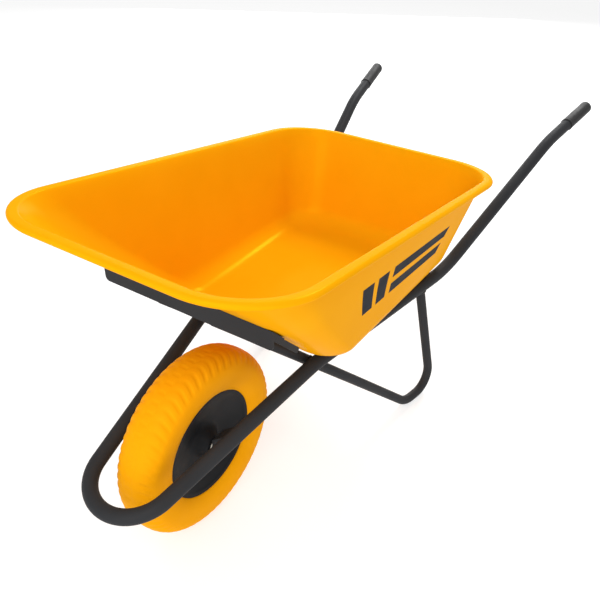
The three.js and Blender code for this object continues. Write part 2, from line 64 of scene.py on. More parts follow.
def to_frame(p):
    return Vector((AXLE_X + p[0] * MM, p[1] * MM, p[2] * MM))


def round_angles(count):
    """The angles of evenly spaced points round a circle."""
    return [2 * math.pi * k / count for k in range(count)]


def skin(rings, loop=False):
    """Points and faces of a closed skin over rings of equally many points.

    The last ring joins the first in a loop. Otherwise both are capped.
    """
    count = len(rings[0])
    points = [p for ring in rings for p in ring]
    faces = []
    for i in range(len(rings) if loop else len(rings) - 1):
        a, b = i * count, ((i + 1) % len(rings)) * count
        for k in range(count):
            n = (k + 1) % count
            faces.append((a + k, a + n, b + n, b + k))
    if not loop:
        faces.append(tuple(reversed(range(count))))
        faces.append(tuple(range(len(points) - count, len(points))))
    return points, faces


def build(name, skins, material, body, replaces=(), sharp=38):
    """One piece from one or more closed skins. Edges that turn more than sharp degrees stay sharp."""
    points, faces = [], []
    for new_points, new_faces in skins:
        faces += [tuple(i + len(points) for i in face) for face in new_faces]
        points += new_points
    mesh = bpy.data.meshes.new(name)
    mesh.from_pydata([to_frame(p) for p in points], [], faces)
    bm = bmesh.new()
    bm.from_mesh(mesh)
    bmesh.ops.recalc_face_normals(bm, faces=bm.faces)
    bm.to_mesh(mesh)
    bm.free()
    mesh.shade_smooth()
    mesh.set_sharp_from_angle(angle=math.radians(sharp))
    mesh.materials.append(material)
    piece = bpy.data.objects.new(name, mesh)
    bpy.context.scene.collection.objects.link(piece)
    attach(piece, body)
    if replaces:
        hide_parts(*replaces)
    return piece


def bent_route(corners, radii, most_turn=4):
    """(point, tangent) stations along straight runs joined by arcs, at most most_turn degrees apart."""
    corners = [Vector(c) for c in corners]
    way = [(b - a).normalized() for a, b in zip(corners, corners[1:])]
    stations = [(corners[0], way[0])]
    for i, radius in enumerate(radii):
        into, out = way[i], way[i + 1]
        turn = into.angle(out)
        axis = into.cross(out).normalized()
        start = corners[i + 1] - into * radius * math.tan(turn / 2)
        centre = start + axis.cross(into) * radius
        steps = math.ceil(math.degrees(turn) / most_turn)
        for k in range(steps + 1):
            spin = Matrix.Rotation(turn * k / steps, 3, axis)
            stations.append((centre + spin @ (start - centre), spin @ into))
    stations.append((corners[-1], way[-1]))
    return stations


def sweep(stations, radius, sides=32, closed=False):
    """A round bar along stations. radius is a number, or a function of the station's index."""
    before = stations[0][1]
    normal = before.orthogonal().normalized()
    rings = []
    for i, (point, tangent) in enumerate(stations):
        normal = before.rotation_difference(tangent) @ normal
        normal = (normal - tangent * normal.dot(tangent)).normalized()
        other = tangent.cross(normal)
        before = tangent
        r = radius(i) if callable(radius) else radius
        rings.append([point + (normal * math.cos(a) + other * math.sin(a)) * r for a in round_angles(sides)])
    return skin(rings, loop=closed)


def turned(section, place, sides):
    """A solid of revolution of (radius, along) points. place maps (along, across, up) to a point."""
    rings = []
    for angle in round_angles(sides):
        rings.append([place(along, r * math.cos(angle), r * math.sin(angle)) for r, along in section])
    return skin(rings, loop=True)


def on_axle(along, across, up):
    return Vector((across, along, AXLE_Z / MM + up))


def spline(a, b, c, d, t):
    """The value t of the way from b to c, on a smooth curve through a, b, c and d."""
    return 0.5 * (2 * b + (c - a) * t + (2 * a - 5 * b + 4 * c - d) * t * t + (3 * b - a - 3 * c + d) * t**3)


def smooth_path(points, steps):
    """A smooth curve through (a, b) points, with so many steps from each to the next."""
    ends = [points[0], *points, points[-1]]
    path = []
    for four in zip(ends, ends[1:], ends[2:], ends[3:]):
        path += [tuple(spline(*values, k / steps) for values in zip(*four)) for k in range(steps)]
    path.append(points[-1])
    return path


def strip(points, thickness):
    """The outline of a line of (a, b) points with some thickness."""
    left, right = [], []
    for i, (a, b) in enumerate(points):
        a0, b0 = points[max(i - 1, 0)]
        a1, b1 = points[min(i + 1, len(points) - 1)]
        length = math.hypot(a1 - a0, b1 - b0)
        na, nb = -(b1 - b0) / length * thickness / 2, (a1 - a0) / length * thickness / 2
        left.append((a + na, b + nb))
        right.append((a - na, b - nb))
    return left + right[::-1]


def smoothstep(low, high, x):
    t = min(max((x - low) / (high - low), 0), 1)
    return t * t * (3 - 2 * t)


def mirrored(p, side):
    return Vector((p[0], p[1] * side, p[2]))


# ---- Materials ----

GRAIN_DEPTH = 0.0004  # metres
GLOSS_SPREAD = 0.12


def coated(name, color, other_color, roughness, grain, bump, metallic=0.0, patch=9, specular=0.5):
    """A surface whose colour and gloss vary softly, with a fine grain."""
    material = bpy.data.materials.new(name)
    material.use_nodes = True
    tree = material.node_tree
    shader = tree.nodes["Principled BSDF"]
    where = tree.nodes.new("ShaderNodeTexCoord")

    def noise(scale, detail):
        node = tree.nodes.new("ShaderNodeTexNoise")
        node.inputs["Scale"].default_value = scale
        node.inputs["Detail"].default_value = detail
        tree.links.new(where.outputs["Object"], node.inputs["Vector"])
        return node.outputs["Fac"]

    def ramp(source, low, high, first, last, target):
        node = tree.nodes.new("ShaderNodeValToRGB")
        node.color_ramp.elements[0].position = low
        node.color_ramp.elements[1].position = high
        node.color_ramp.elements[0].color = (*first, 1)
        node.color_ramp.elements[1].color = (*last, 1)
        tree.links.new(source, node.inputs["Fac"])
        tree.links.new(node.outputs["Color"], shader.inputs[target])

    ramp(noise(patch, 3), 0.35, 0.65, color, other_color, "Base Color")
    glossy, dull = [(roughness * (1 + spread),) * 3 for spread in (-GLOSS_SPREAD, GLOSS_SPREAD)]
    ramp(noise(patch * 4, 5), 0.3, 0.7, glossy, dull, "Roughness")
    relief = tree.nodes.new("ShaderNodeBump")
    relief.inputs["Strength"].default_value = bump
    relief.inputs["Distance"].default_value = GRAIN_DEPTH
    tree.links.new(noise(grain, 2), relief.inputs["Height"])
    tree.links.new(relief.outputs["Normal"], shader.inputs["Normal"])
    shader.inputs["Metallic"].default_value = metallic
    shader.inputs["Specular IOR Level"].default_value = specular
    return material


PAINT = coated(
    "orange_paint",
    (0.88, 0.38, 0.003),
    (0.86, 0.365, 0.002),
    roughness=0.2,
    grain=700,
    bump=0.04,
    metallic=0.03,
    specular=0.001,
)
POWDER = coated(
    "grey_powder_coat",
    (0.029, 0.03, 0.0325),
    (0.034, 0.035, 0.0375),
    roughness=0.5,
    grain=2200,
    bump=0.22,
    specular=0.05,
)
FOAM = coated(
    "orange_tyre",
    (0.9, 0.37, 0.003),
    (0.88, 0.355, 0.002),
    roughness=0.6,
    grain=1500,
    bump=0.2,
    specular=0.02,
)
BLACK = coated(
    "black_rim_paint",
    (0.013, 0.0137, 0.015),
    (0.017, 0.018, 0.02),
    roughness=0.45,
    grain=900,
    bump=0.1,
    specular=0.05,
)
SLEEVE = coated(
    "black_grip",
    (0.016, 0.016, 0.0165),
    (0.021, 0.021, 0.0215),
    roughness=0.6,
    grain=3000,
    bump=0.25,
    specular=0.3,
)
ZINC = coated(
    "zinc_plate",
    (0.5, 0.51, 0.53),
    (0.57, 0.55, 0.5),
    roughness=0.34,
    grain=2500,
    bump=0.12,
    metallic=1.0,
    patch=120,
)
NYLON = coated(
    "natural_nylon",
    (0.7, 0.68, 0.61),
    (0.65, 0.63, 0.55),
    roughness=0.5,
    grain=1800,
    bump=0.1,
)
WELD = coated(
    "painted_weld",
    (0.019, 0.019, 0.02),
    (0.026, 0.026, 0.027),
    roughness=0.4,
    grain=1400,
    bump=0.35,
    specular=0.3,
)
PRINT = coated(
    "dark_print",
    (0.018, 0.021, 0.027),
    (0.022, 0.025, 0.031),
    roughness=0.45,
    grain=1500,
    bump=0.06,
    specular=0.01,
)

# ---- Frame tube and legs ----

GAP = 0.3
TUBE_R = 13.45
HANDLE_END = Vector((1189, 299.8, 529.5))
HANDLE_BEND = Vector((1002.5, 268.9, 489))
TRAY_REAR_BEND = Vector((612.4, 196.8, 297))
TRAY_FRONT_BEND = Vector((178.8, 134, 292.2))
NOSE_APEX = Vector((-601.5, 0, 117))
FRAME_RADII = [260, 220, 200, 76.2, 200, 220, 260]
FRAME_TURN = 3
FRAME_SIDES = 40

LEG_R = 10
LEG_SIDES = 32
LEG_TOP_X = 518
FOOT_FRONT = Vector((476, 200, LEG_R))
FOOT_REAR = Vector((575, 217, LEG_R))
BRACE_CROSSING = Vector((183, 110.5, 288))
FOOT_RADII = [46, 60]
SUPPORT_X = -7
SUPPORT_SHEET = 3
SUPPORT_BACK = SUPPORT_X + SUPPORT_SHEET / 2

right_corners = [HANDLE_END, HANDLE_BEND, TRAY_REAR_BEND, TRAY_FRONT_BEND]
frame_corners = [mirrored(p, -1) for p in right_corners] + [NOSE_APEX] + right_corners[::-1]
frame_tube = sweep(bent_route(frame_corners, FRAME_RADII, FRAME_TURN), TUBE_R, FRAME_SIDES)
build("frame_tube", [frame_tube], POWDER, "frame", ["main_frame"])


def on_run(start, end, x):
    return start.lerp(end, (x - start.x) / (end.x - start.x))


def under_tray(x, side):
    """The middle of the frame tube at x, on its run under the tray."""
    return mirrored(on_run(TRAY_FRONT_BEND, TRAY_REAR_BEND, x), side)


def way_under_tray(side):
    return (mirrored(TRAY_REAR_BEND, side) - mirrored(TRAY_FRONT_BEND, side)).normalized()


def leg_corners(side):
    """Top, rear bend, front bend and front end of a leg's centre line."""
    top = under_tray(LEG_TOP_X, 1)
    brace = BRACE_CROSSING - FOOT_FRONT
    end = FOOT_FRONT + brace * ((SUPPORT_BACK + GAP - FOOT_FRONT.x) / brace.x)
    return [mirrored(p, side) for p in (top, FOOT_REAR, FOOT_FRONT, end)]


def hit_tube(start, way, centre, tube_way, radius):
    """Where a line first meets a round tube."""
    w = way - tube_way * way.dot(tube_way)
    s = (start - centre) - tube_way * (start - centre).dot(tube_way)
    a, b, c = w.dot(w), 2 * w.dot(s), s.dot(s) - radius * radius
    root = math.sqrt(max(b * b - 4 * a * c, 0))
    return start + way * ((-b - root) / (2 * a))


def hit_support(p, way):
    """Where the line through p along way comes within a gap of the support's back."""
    return p + way * ((SUPPORT_BACK + GAP - p.x) / way.x)


def leg_tube(side):
    """A bent leg: its top butts against the frame tube, its front end against the front support."""
    route = bent_route(leg_corners(side), FOOT_RADII)
    points, faces = sweep(route, LEG_R, LEG_SIDES)
    top, down = route[0]
    brace = route[-1][1]
    last = len(points) - LEG_SIDES
    for k in range(LEG_SIDES):
        below = points[k] + down * 4 * LEG_R
        points[k] = hit_tube(below, -down, top, way_under_tray(side), TUBE_R + GAP)
        points[last + k] = hit_support(points[last + k], brace)
    return points, faces


for name, side in SIDES:
    build(name + "_leg_tube", [leg_tube(side)], POWDER, "frame", [name + "_leg"])

# ---- Welds ----

BEAD_R = 2.6
BEAD_STEP = 0.8
BEAD_SIDES = 12
BEAD_TAPER = 5  # steps
RIPPLE_LENGTH = 2.6
RIPPLE = 0.1  # of the bead's radius
WANDER = 0.05
WANDER_TURN = 0.37  # radians a step
SEAM_POINTS = 48
BRACE_BEAD = slice(10, -9)  # points of the seam, which starts at its lowest one
CREASE_HALF_LENGTH = 13
CREASE_LIFT = 6
CREASE_SAG = 0.8  # of the lift, in the middle of the bead
CREASE_AHEAD = 4

BRACKET_Y = 46.6
BRACKET_SHEET = 5
BRACKET_WIDTH = 32
BRACKET_BEND_Z = 207
BRACKET_BEAD_R = 2.2
BRACKET_EDGE_STEPS = 12
TAB_PLACES = {"front": 262, "rear": 545}
TAB_LENGTH = 36
TAB_BEAD_R = 1.8
TAB_BEAD_INSET = 1.2
TAB_BEAD_STEP = TAB_LENGTH / 6.6
TUBE_EDGE = 0.5  # how far the beads stay from the top and bottom of the tube


def bead(points, closed=True, radius=BEAD_R):
    """A rippled weld bead along points, drawn thin at the ends of an open one."""
    path = []
    spots = points + points[:1] if closed else points
    for a, b in zip(spots, spots[1:]):
        steps = max(1, round((b - a).length / BEAD_STEP))
        path += [a.lerp(b, k / steps) for k in range(steps)]
    if not closed:
        path.append(points[-1])
    count = len(path)
    stations = []
    for i, p in enumerate(path):
        ahead = path[(i + 1) % count] if closed else path[min(i + 1, count - 1)]
        behind = path[i - 1] if closed else path[max(i - 1, 0)]
        stations.append((p, (ahead - behind).normalized()))

    def thickness(i):
        ripple = 1 + RIPPLE * math.sin(i * BEAD_STEP * 2 * math.pi / RIPPLE_LENGTH)
        ripple += WANDER * math.sin(i * WANDER_TURN)
        end = 1 if closed else smoothstep(-1, BEAD_TAPER, min(i, count - 1 - i))
        return radius * ripple * end

    return sweep(stations, thickness, BEAD_SIDES, closed)


def tube_lines(end, way):
    """The points round the end of a leg tube that runs along way."""
    side = way.orthogonal().normalized()
    up = way.cross(side)
    return [end + (side * math.cos(a) + up * math.sin(a)) * LEG_R for a in round_angles(SEAM_POINTS)]


def leg_top_weld(side):
    top, rear, _, _ = leg_corners(side)
    upright = (top - rear).normalized()
    lines = tube_lines(rear, upright)
    return bead([hit_tube(p, upright, top, way_under_tray(side), TUBE_R) for p in lines])


def brace_welds(side):
    """The welds of a brace to the front support and to the frame tube."""
    _, _, front, end = leg_corners(side)
    brace = (end - front).normalized()
    # The brace ends at the lower edge of the support, so the weld runs round its upper side only.
    seam = [hit_support(p, brace) for p in tube_lines(end - brace * 3 * LEG_R, brace)]
    lowest = min(range(SEAM_POINTS), key=lambda k: seam[k].z)
    seams = [bead((seam[lowest:] + seam[:lowest])[BRACE_BEAD], closed=False)]
    # Where it passes the frame tube, there is a short bead in the crease above and below the contact.
    crossing = mirrored(BRACE_CROSSING, side)
    beside = under_tray(BRACE_CROSSING.x + CREASE_AHEAD, side)
    contact = crossing.lerp(beside, LEG_R / (LEG_R + TUBE_R))
    outward = Vector((0, side, 0))
    along = (brace.cross(outward).cross(outward) * -1).normalized()
    reach = along * CREASE_HALF_LENGTH
    for lift in (-1, 1):
        across = along.cross(outward) * lift * CREASE_LIFT
        path = [contact + across - reach, contact + across * CREASE_SAG, contact + across + reach]
        seams.append(bead(path, closed=False))
    return seams


def bracket_weld(side):
    """The four edges of an axle bracket, on the underside of the frame tube."""
    tube_way = (mirrored(TRAY_FRONT_BEND, side) - NOSE_APEX).normalized()
    centre = mirrored(on_run(NOSE_APEX, TRAY_FRONT_BEND, 0), side)
    low = Vector((0, side * (BRACKET_Y + BRACKET_SHEET / 2), BRACKET_BEND_Z))
    rise = (centre - low).normalized()
    flat = Vector((0, rise.z, -rise.y)) * side
    corners = []
    for a, b in ((-1, -1), (1, -1), (1, 1), (-1, 1)):
        corners.append(low + Vector((a * BRACKET_WIDTH / 2, 0, 0)) + flat * b * BRACKET_SHEET / 2)
    loop = []
    for a, b in zip(corners, corners[1:] + corners[:1]):
        edge = [a.lerp(b, k / BRACKET_EDGE_STEPS) for k in range(BRACKET_EDGE_STEPS)]
        loop += [hit_tube(p, rise, centre, tube_way, TUBE_R) for p in edge]
    return bead(loop, radius=BRACKET_BEAD_R)


def tab_welds(name, side):
    """The two long edges of each tray tab, along the inner side of the frame tube."""
    seams = []
    for end, x in TAB_PLACES.items():
        low_corner, high_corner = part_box(f"{name}_{end}_tray_tab")
        middle = under_tray(x, side)
        for z in (low_corner.z / MM + TAB_BEAD_INSET, high_corner.z / MM - TAB_BEAD_INSET):
            path = []
            for k in range(-3, 4):
                p = under_tray(x + k * TAB_BEAD_STEP, side)
                drop = min(abs(z - p.z), TUBE_R - TUBE_EDGE)
                reach = math.sqrt(TUBE_R * TUBE_R - drop * drop)
                path.append(Vector((p.x, p.y - side * reach, p.z + math.copysign(drop, z - middle.z))))
            seams.append(bead(path, closed=False, radius=TAB_BEAD_R))
    return seams


for name, side in SIDES:
    seams = [leg_top_weld(side), *brace_welds(side), bracket_weld(side), *tab_welds(name, side)]
    build(name + "_welds", seams, WELD, "frame")

# ---- Tray ----

SHEET = 1.2
FLOOR = {
    "front": 176,
    "rear": 634,
    "front_half": 192,
    "rear_half": 192.5,
    "front_r": 60,
    "rear_r": 66,
    "front_z": 309.6,
    "rear_z": 313,
}
MOUTH = {
    "front": -142,
    "rear": 707,
    "front_half": 251,
    "rear_half": 246,
    "front_r": 115,
    "rear_r": 103,
    "front_z": 629.5,
    "rear_z": 508.5,
}
FRONT_CORNER_FLARE = 2.7
FLOOR_FILLET = 45
FLOOR_FILLET_RISE = 0.15
FILLET_STEPS = 10
WALL_TOP = 0.97  # of the way from the floor to the mouth
WALL_STEPS = 12
LIP_R = 4.5
LIP_ANGLES = [math.radians(a) for a in (160, 142, 124, 106, 90)]
RIM_REACH = 20
ROLL_R = 6
ROLL_ANGLES = [math.radians(90 - 15 * k) for k in range(17)]
CORNER_STEPS = 20
SIDE_STEPS = 10

# Each bar: its lower and upper edge up the wall, its start and end along the wall, and its lean.
SIDE_BARS = [
    (0.39, 0.65, 0.15, 0.225, 0.05),
    (0.39, 0.65, 0.255, 0.33, 0.05),
    (0.39, 0.49, 0.353, 0.813, 0.02),
    (0.55, 0.65, 0.384, 0.844, 0.02),
]
PRINT_UNDERSIDE = 0.02
PRINT_TOP = 0.14
BAR_ROWS = 8
BAR_COLUMNS = 16


def tray_value(key, share):
    return FLOOR[key] + (MOUTH[key] - FLOOR[key]) * share


def between_ends(key, x, share):
    """A measure at x, which changes evenly from the front edge to the rear edge."""
    front, rear = tray_value("front", share), tray_value("rear", share)
    t = (x - front) / (rear - front)
    return tray_value("front_" + key, share) * (1 - t) + tray_value("rear_" + key, share) * t


def tray_ring(share, grow, lift):
    """One closed outline round the tray, share of the way from the floor to the mouth."""
    front, rear = tray_value("front", share) - grow, tray_value("rear", share) + grow
    front_r = FLOOR["front_r"] + (MOUTH["front_r"] - FLOOR["front_r"]) * share**FRONT_CORNER_FLARE + grow
    rear_r = tray_value("rear_r", share) + grow
    corners = [
        (front, 1, -1, front_r, 180),
        (rear, -1, -1, rear_r, 270),
        (rear, -1, 1, rear_r, 0),
        (front, 1, 1, front_r, 90),
    ]
    arcs = []
    for end, inward, side, radius, start in corners:
        x = end + inward * radius
        y = side * (between_ends("half", x, share) + grow - radius)
        arc = []
        for k in range(CORNER_STEPS + 1):
            angle = math.radians(start + 90 * k / CORNER_STEPS)
            arc.append((x + radius * math.cos(angle), y + radius * math.sin(angle)))
        arcs.append(arc)
    outline = []
    for arc, after in zip(arcs, arcs[1:] + arcs[:1]):
        outline += arc
        (xa, ya), (xb, yb) = arc[-1], after[0]
        for k in range(1, SIDE_STEPS):
            outline.append((xa + (xb - xa) * k / SIDE_STEPS, ya + (yb - ya) * k / SIDE_STEPS))
    return [Vector((x, y, between_ends("z", x, share) + lift)) for x, y in outline]


def mouth_arc(angles, middle, radius, depth):
    """Stations on an arc whose centre lies middle out from the mouth and depth under it."""
    return [(1, middle + radius * math.cos(a), radius * math.sin(a) - depth) for a in angles]


def tray_section():
    """(share, grow, lift) from the floor inside, up the wall, round the rolled edge and back outside."""
    fillet = []
    for k in range(FILLET_STEPS + 1):
        s = k / FILLET_STEPS
        fillet.append((FLOOR_FILLET_RISE * s * s, -FLOOR_FILLET * (1 - s) ** 2, s))
    height = WALL_TOP - FLOOR_FILLET_RISE
    walls = [FLOOR_FILLET_RISE + height * k / WALL_STEPS for k in range(1, WALL_STEPS + 1)]
    roll_middle = RIM_REACH - ROLL_R
    section = [(share, grow, 0) for share, grow, _ in fillet]
    section += [(share, 0, 0) for share in walls]
    section += mouth_arc(LIP_ANGLES, LIP_R, LIP_R, LIP_R)
    section += mouth_arc(ROLL_ANGLES, roll_middle, ROLL_R, ROLL_R)
    section += mouth_arc(reversed(ROLL_ANGLES), roll_middle, ROLL_R - SHEET, ROLL_R)
    section += mouth_arc(reversed(LIP_ANGLES), LIP_R, LIP_R - SHEET, LIP_R)
    section += [(share, SHEET, 0) for share in reversed(walls)]
    section += [(share, grow + SHEET * s, -SHEET * (1 - s)) for share, grow, s in reversed(fillet)]
    return section


tray_rings = [tray_ring(*station) for station in tray_section()]
build("tray_shell", [skin(tray_rings)], PAINT, "frame", ["tray"], sharp=50)


def wall_point(share, t, side, proud):
    """A point on the outside of a side wall, t of the way along its flat part."""
    front = tray_value("front", share) + tray_value("front_r", share)
    rear = tray_value("rear", share) - tray_value("rear_r", share)
    x = front + (rear - front) * t
    y = side * (between_ends("half", x, share) + SHEET + proud)
    return Vector((x, y, between_ends("z", x, share)))


def printed_bar(side, low, high, start, end, lean):
    """A slanted bar printed on a side wall, as a very thin slab."""
    rings = []
    for i in range(BAR_ROWS + 1):
        share = low + (high - low) * i / BAR_ROWS
        shift = lean * (i / BAR_ROWS - 0.5)
        ts = [start + shift + (end - start) * k / BAR_COLUMNS for k in range(BAR_COLUMNS + 1)]
        under = [wall_point(share, t, side, PRINT_UNDERSIDE) for t in ts]
        over = [wall_point(share, t, side, PRINT_TOP) for t in reversed(ts)]
        rings.append(under + over)
    return skin(rings)


for name, side in SIDES:
    bars = [printed_bar(side, *bar) for bar in SIDE_BARS]
    build(name + "_side_print", bars, PRINT, "frame", sharp=30)

# ---- Grips ----

GRIP_LENGTH = 101
GRIP_WALL = 1.1
GRIP_CAP = 5
GRIP_SIDES = 48
GRIP_MOUTH_FLARE = 0.2
GRIP_LIP = 0.6
GRIP_LIP_START = 0.4
GRIP_LIP_WIDTH = 3.4
GRIP_LIP_STEPS = 6
GRIP_STATION = 8
GRIP_STATION_STEP = 10
GRIP_STATIONS = 9
GRIP_EDGE_R = 5
GRIP_EDGE_STEPS = 8
GRIP_CROWN = 9
GRIP_CROWN_RISE = 0.3
ON_AXIS = 0.01  # a radius that all but closes a solid of revolution


def grip_section():
    bore = TUBE_R + GAP
    outer = bore + GRIP_WALL
    end = GRIP_CAP + GAP
    section = [(bore, -GRIP_LENGTH), (outer + GRIP_MOUTH_FLARE, -GRIP_LENGTH)]
    for k in range(GRIP_LIP_STEPS + 1):
        a = math.pi * k / GRIP_LIP_STEPS
        along = GRIP_LIP_START + GRIP_LIP_WIDTH * (1 - math.cos(a)) / 2
        section.append((outer + GRIP_LIP * math.sin(a), along - GRIP_LENGTH))
    straight = [GRIP_STATION + GRIP_STATION_STEP * k for k in range(GRIP_STATIONS)]
    section += [(outer, along - GRIP_LENGTH) for along in straight]
    for k in range(GRIP_EDGE_STEPS + 1):
        a = math.pi / 2 * k / GRIP_EDGE_STEPS
        section.append((outer - GRIP_EDGE_R * (1 - math.cos(a)), end - GRIP_EDGE_R * (1 - math.sin(a))))
    section += [(outer - GRIP_CROWN, end + GRIP_CROWN_RISE / 2), (ON_AXIS, end + GRIP_CROWN_RISE)]
    section += [(ON_AXIS, GAP), (bore, GAP)]
    return section


def on_handle(side):
    """A placing of (along, across, up) from the end of a handle."""
    origin = mirrored(HANDLE_END, side)
    way = mirrored((HANDLE_END - HANDLE_BEND).normalized(), side)
    level = Vector((0, 0, 1)).cross(way).normalized()
    upward = way.cross(level)
    return lambda along, across, up: origin + way * along + level * across + upward * up


for name, side in SIDES:
    sleeve = turned(grip_section(), on_handle(side), GRIP_SIDES)
    build(name + "_grip_sleeve", [sleeve], SLEEVE, "frame", [name + "_grip"])

# ---- Wheel ----

WHEEL_R = AXLE_Z / MM
TYRE_HALF_WIDTH = 43
TYRE_DEPTH = 76
TYRE_FULLNESS = 0.84
RIM_R = 104.6
RIM_HALF_WIDTH = 31.6
RIM_SHEET = 2
RIM_SIDES = 120
RIM_STEPS = 5
SEAT_R = 100
TYRE_BEAD_EDGE = 0.6
LOWER_WALL_STEPS = 12
UPPER_WALL_STEPS = 48
LUGS = 58
LUG_HEIGHT = 1.3
LUG_REACH = 36
LUG_LEAN = 0.6
TURNS = LUGS * 12
TREAD_START = 3  # outwards from the middle of the tyre's section
RIB_EDGE = (6, 8.5)
BESIDE_RIB = (8.5, 11)
RIB_CUT = (0.26, 0.42)  # this and the next three are shares of the way from one lug to the next
LUG_EDGE = (0.12, 0.48)
LUG_BOW = 0.3
RIB_PHASE = 0.5
LUG_BOW_START = 9
RIB_DEPTH = 0.4  # of a groove's full depth
INNER_DEPTH = 0.3
FULL_DEPTH = (16, 30)
SHOULDER_EDGE = 0.5


def tread_depth(angle, across):
    """How far the surface lies under the tops of the lugs: 0 on a lug, 1 in a groove."""
    width = abs(across)
    phase = angle * LUGS / (2 * math.pi)
    if width < RIB_EDGE[1]:
        gap = abs((phase + RIB_PHASE) % 1 - 0.5)
        return max(smoothstep(*RIB_EDGE, width), smoothstep(*RIB_CUT, gap)) * RIB_DEPTH
    bow = LUG_BOW * math.sin((width - LUG_BOW_START) / (LUG_REACH - LUG_BOW_START) * math.pi)
    gap = abs((phase + bow) % 1 - 0.5)
    fade = 1 - smoothstep(LUG_REACH, TYRE_HALF_WIDTH - SHOULDER_EDGE, width)
    depth = (INNER_DEPTH + (1 - INNER_DEPTH) * smoothstep(*FULL_DEPTH, width)) * fade
    beside_rib = RIB_DEPTH * (1 - smoothstep(*BESIDE_RIB, width))
    return max(beside_rib, depth * smoothstep(*LUG_EDGE, gap))


def squared(value):
    return math.copysign(abs(value) ** TYRE_FULLNESS, value)


def tyre_section():
    """(radius, across) from the rim seat, round the outside and back."""
    middle = WHEEL_R - TYRE_DEPTH / 2
    bead_r = RIM_R + GAP
    seat_half = RIM_HALF_WIDTH - RIM_SHEET - 2 * GAP
    start = math.asin(((RIM_HALF_WIDTH + GAP) / TYRE_HALF_WIDTH) ** (1 / TYRE_FULLNESS))
    wall_depth = (middle - bead_r) / math.cos(start) ** TYRE_FULLNESS
    corner = [(bead_r - TYRE_BEAD_EDGE, seat_half), (bead_r, seat_half + TYRE_BEAD_EDGE)]
    half = [(SEAT_R, seat_half), *corner]
    lower = [start + (math.pi / 2 - start) * k / LOWER_WALL_STEPS for k in range(LOWER_WALL_STEPS)]
    upper = [math.pi / 2 * (1 + k / UPPER_WALL_STEPS) for k in range(UPPER_WALL_STEPS)]
    for depth, angles in ((wall_depth, lower), (TYRE_DEPTH / 2, upper)):
        for a in angles:
            half.append((middle - depth * squared(math.cos(a)), TYRE_HALF_WIDTH * squared(math.sin(a))))
    return half + [(WHEEL_R, 0)] + [(r, -y) for r, y in reversed(half)]


def tyre_rings():
    """The tyre, with its tread on the outer part of the section."""
    tread_r = WHEEL_R - TYRE_DEPTH / 2 + TREAD_START
    section = tyre_section()
    rings = []
    for angle in round_angles(TURNS):
        ring = []
        for r, y in section:
            sink = LUG_HEIGHT * tread_depth(angle, y) if r > tread_r else 0
            across = y * (1 - LUG_LEAN * sink / TYRE_HALF_WIDTH)
            ring.append(on_axle(across, (r - sink) * math.cos(angle), (r - sink) * math.sin(angle)))
        rings.append(ring)
    return rings


build("foam_tyre", [skin(tyre_rings(), loop=True)], FOAM, "wheel", ["tyre"], sharp=60)

HUB_R = 14
HUB_HALF_LENGTH = 38
BUSH_R = 9
BUSH_DEPTH = 20
BUSH_FLANGE = 2.5
BUSH_FLANGE_REACH = 4
BUSH_EDGE = 0.4
AXLE_R = 6
RIM_PROFILE = [
    (RIM_R - GAP, RIM_HALF_WIDTH - 1),
    (98, RIM_HALF_WIDTH - 1.4),
    (91.5, RIM_HALF_WIDTH - 4.3),
    (68, 20.4),
    (46, 14),
    (36, 13.4),
    (29, 17.2),
    (23, 25.5),
    (18, 33),
    (HUB_R + 1.8, 35.2),
]

for name, side in SIDES:
    profile = strip([(r, y * side) for r, y in smooth_path(RIM_PROFILE, RIM_STEPS)], RIM_SHEET)
    disc = turned(profile, on_axle, RIM_SIDES)
    build(name + "_rim_side", [disc], BLACK, "wheel", [name + "_rim"], sharp=50)

# ---- Fasteners ----

HEX_STEPS = 8
HEX_POINTS = 72
HEX_CHAMFER = 0.13  # of the width across the flats
HEX_CHAMFER_SLOPE = 1.7
NUT_EDGE = 0.5
THREAD_STEPS = 6
THREAD_POINTS = 36
THREAD_DEPTH = 0.54  # of the pitch
THREAD_TIP = 1.4  # of the pitch
TIP_CHAMFER = 0.6
WASHER_EDGE = 0.3
WASHER_SIDES = 48
ROD_SIDES = 36


def hex_outlines(flats, low, high, chamfer):
    """(along, outline) of a six-sided bar whose corners are turned down at the end that chamfer says."""
    corner = flats / math.sqrt(3)
    depth = HEX_CHAMFER * flats
    outlines = []
    for k in range(HEX_STEPS + 1):
        share = k / HEX_STEPS
        inside = depth * (share if chamfer < 0 else 1 - share)
        limit = corner - max(0, depth * 0.5 - inside) * HEX_CHAMFER_SLOPE
        outline = []
        for angle in round_angles(HEX_POINTS):
            to_flat = abs((angle + math.pi / 6) % (math.pi / 3) - math.pi / 6)
            outline.append((min(flats / 2 / math.cos(math.pi / 6 - to_flat), limit), angle))
        outlines.append((low + (high - low) * share, outline))
    return outlines


def hexagon(flats, bore, low, high, place, chamfer=1):
    """A nut, or a bolt head where bore is 0."""
    outlines = hex_outlines(flats, low, high, chamfer)
    if bore:
        flare = bore + NUT_EDGE
        hole = [(high, flare), (high - NUT_EDGE, bore), (low + NUT_EDGE, bore), (low, flare)]
        outlines += [(along, [(r, angle) for angle in round_angles(HEX_POINTS)]) for along, r in hole]
    rings = []
    for along, outline in outlines:
        rings.append([place(along, r * math.cos(a), r * math.sin(a)) for r, a in outline])
    return skin(rings, loop=bool(bore))


